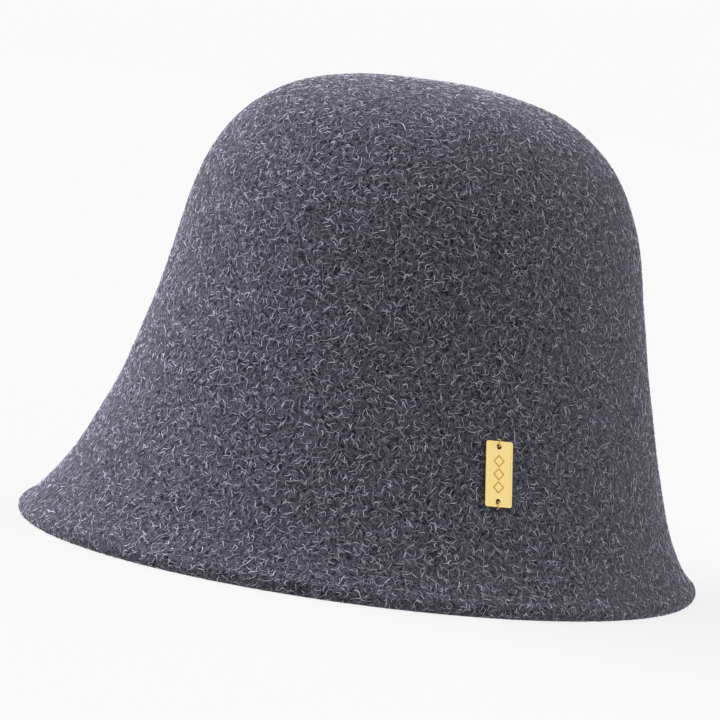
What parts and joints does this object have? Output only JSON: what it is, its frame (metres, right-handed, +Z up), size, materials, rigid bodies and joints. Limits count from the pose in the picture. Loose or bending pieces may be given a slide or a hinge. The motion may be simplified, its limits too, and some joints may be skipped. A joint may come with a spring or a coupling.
{
  "type": "cloche hat",
  "caption": "Bell-shaped felt hat with a rounded seamless crown, a down-turned flared brim with a turned-under edge, and a small gold plate sewn to its left side.",
  "frame": {"origin": "centre of the brim's outline, on the level plane that the brim rests on", "axes": "+Z up through the crown, -Y towards the front of the hat (the way the wearer looks), +X towards the wearer's left"},
  "size_m": [0.2262, 0.2682, 0.1825],
  "materials": {
    "wool_felt": "melange blue-grey wool felt, soft nap",
    "gold_plate": "polished, gold-plated",
    "gold_thread": "twisted polyester thread",
    "spring_wire": "drawn steel",
    "joiner_brass": "crimped sleeve",
    "navy_thread": "sewing thread",
    "grosgrain": "ribbed ribbon",
    "strap_webbing": "woven tape",
    "hook_tape": "nylon hooks",
    "loop_tape": "brushed nylon loops",
    "woven_satin": "blank woven label",
    "care_tape": "blank satin tape"
  },
  "bodies": {
    "hat": {"felt_body": "wool_felt", "metal_plate": "gold_plate", "upper_plate_thread": "gold_thread", "lower_plate_thread": "gold_thread", "brim_wire": "spring_wire", "wire_joiner": "joiner_brass", "hem_thread": "navy_thread", "sweatband": "grosgrain", "band_thread": "navy_thread", "woven_label": "woven_satin", "care_label": "care_tape", "strap_sleeve": "grosgrain", "loop_pad": "loop_tape"},
    "strap": {"size_strap": "strap_webbing", "hook_pad": "hook_tape"}
  },
  "joints": [
    {"name": "size_adjust", "type": "hinge", "parent": "hat", "child": "strap", "pos_m": [0, 0.031, 0.079], "axis": [0, 0, 1], "range_deg": [0, 15]}
  ]
}
